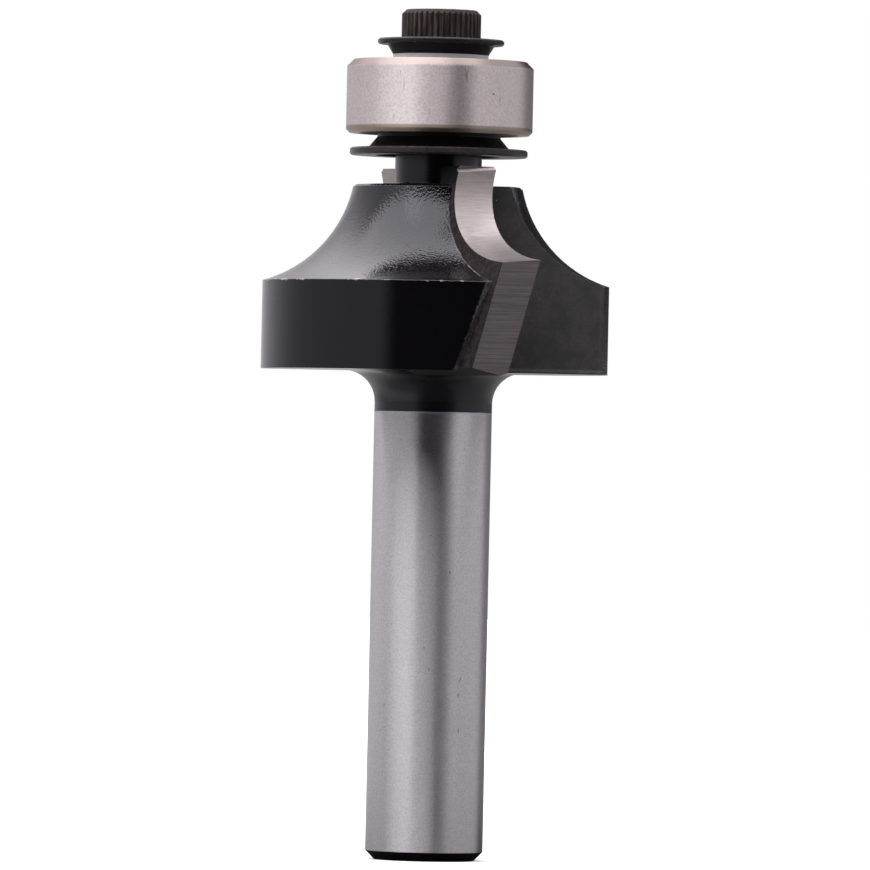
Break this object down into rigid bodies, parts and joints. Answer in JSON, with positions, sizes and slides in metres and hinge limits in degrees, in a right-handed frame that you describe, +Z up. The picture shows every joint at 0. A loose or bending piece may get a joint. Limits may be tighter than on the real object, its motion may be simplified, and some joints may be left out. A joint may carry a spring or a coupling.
{
  "type": "router bit",
  "caption": "Corner rounding router bit with brazed cutting tips, a straight shank and a ball bearing pilot held by a cap screw.",
  "frame": {"origin": "centre of the shank's free end, which is the face the bit stands on", "axes": "+Z up the axis from the shank's free end to the cap screw; the front gullet opens towards -Y and the rear one towards +Y"},
  "size_m": [0.0236, 0.0246, 0.0578],
  "materials": {
    "coated_steel": "satin black coating over steel, with a bright ground shank",
    "carbide": "ground sintered carbide",
    "black_washer": "blackened pressed steel",
    "bearing_steel": "ground bearing steel",
    "polished_steel": "polished steel",
    "cage_steel": "pressed sheet steel",
    "shield_steel": "pressed sheet steel",
    "spring_steel": "spring steel",
    "black_oxide": "black oxide with a brown cast"
  },
  "bodies": {
    "bit": {"body": "coated_steel", "cutter_tip_front": "carbide", "cutter_tip_rear": "carbide", "lower_shield_washer": "black_washer", "bearing_inner_ring": "bearing_steel", "spacer": "polished_steel", "upper_shield_washer": "black_washer", "cap_screw": "black_oxide"},
    "pilot": {"bearing_outer_ring": "bearing_steel", "bearing_shield_lower": "shield_steel", "bearing_shield_upper": "shield_steel", "retaining_ring_lower": "spring_steel", "retaining_ring_upper": "spring_steel"},
    "cage": {"cage_lower": "cage_steel", "cage_upper": "cage_steel"},
    "ball_1": {"ball_1": "polished_steel"},
    "ball_2": {"ball_2": "polished_steel"},
    "ball_3": {"ball_3": "polished_steel"},
    "ball_4": {"ball_4": "polished_steel"},
    "ball_5": {"ball_5": "polished_steel"},
    "ball_6": {"ball_6": "polished_steel"},
    "ball_7": {"ball_7": "polished_steel"}
  },
  "joints": [
    {"name": "pilot_spin", "type": "hinge", "parent": "bit", "child": "pilot", "pos_m": [0, 0, 0.05185], "axis": [0, 0, 1], "continuous": true},
    {"name": "cage_spin", "type": "hinge", "parent": "bit", "child": "cage", "pos_m": [0, 0, 0.05185], "axis": [0, 0, 1], "continuous": true},
    {"name": "ball_1_spin", "type": "hinge", "parent": "cage", "child": "ball_1", "pos_m": [0.00436, 0, 0.05185], "axis": [0, 0, 1], "continuous": true},
    {"name": "ball_2_spin", "type": "hinge", "parent": "cage", "child": "ball_2", "pos_m": [0.00272, 0.00341, 0.05185], "axis": [0, 0, 1], "continuous": true},
    {"name": "ball_3_spin", "type": "hinge", "parent": "cage", "child": "ball_3", "pos_m": [-0.00097, 0.00426, 0.05185], "axis": [0, 0, 1], "continuous": true},
    {"name": "ball_4_spin", "type": "hinge", "parent": "cage", "child": "ball_4", "pos_m": [-0.00393, 0.00189, 0.05185], "axis": [0, 0, 1], "continuous": true},
    {"name": "ball_5_spin", "type": "hinge", "parent": "cage", "child": "ball_5", "pos_m": [-0.00393, -0.00189, 0.05185], "axis": [0, 0, 1], "continuous": true},
    {"name": "ball_6_spin", "type": "hinge", "parent": "cage", "child": "ball_6", "pos_m": [-0.00097, -0.00426, 0.05185], "axis": [0, 0, 1], "continuous": true},
    {"name": "ball_7_spin", "type": "hinge", "parent": "cage", "child": "ball_7", "pos_m": [0.00272, -0.00341, 0.05185], "axis": [0, 0, 1], "continuous": true}
  ],
  "couplings": [
    {"joint": "cage_spin", "follows": "pilot_spin", "ratio": 0.63631},
    {"joint": "ball_1_spin", "follows": "pilot_spin", "ratio": 1.6977},
    {"joint": "ball_2_spin", "follows": "pilot_spin", "ratio": 1.6977},
    {"joint": "ball_3_spin", "follows": "pilot_spin", "ratio": 1.6977},
    {"joint": "ball_4_spin", "follows": "pilot_spin", "ratio": 1.6977},
    {"joint": "ball_5_spin", "follows": "pilot_spin", "ratio": 1.6977},
    {"joint": "ball_6_spin", "follows": "pilot_spin", "ratio": 1.6977},
    {"joint": "ball_7_spin", "follows": "pilot_spin", "ratio": 1.6977}
  ]
}
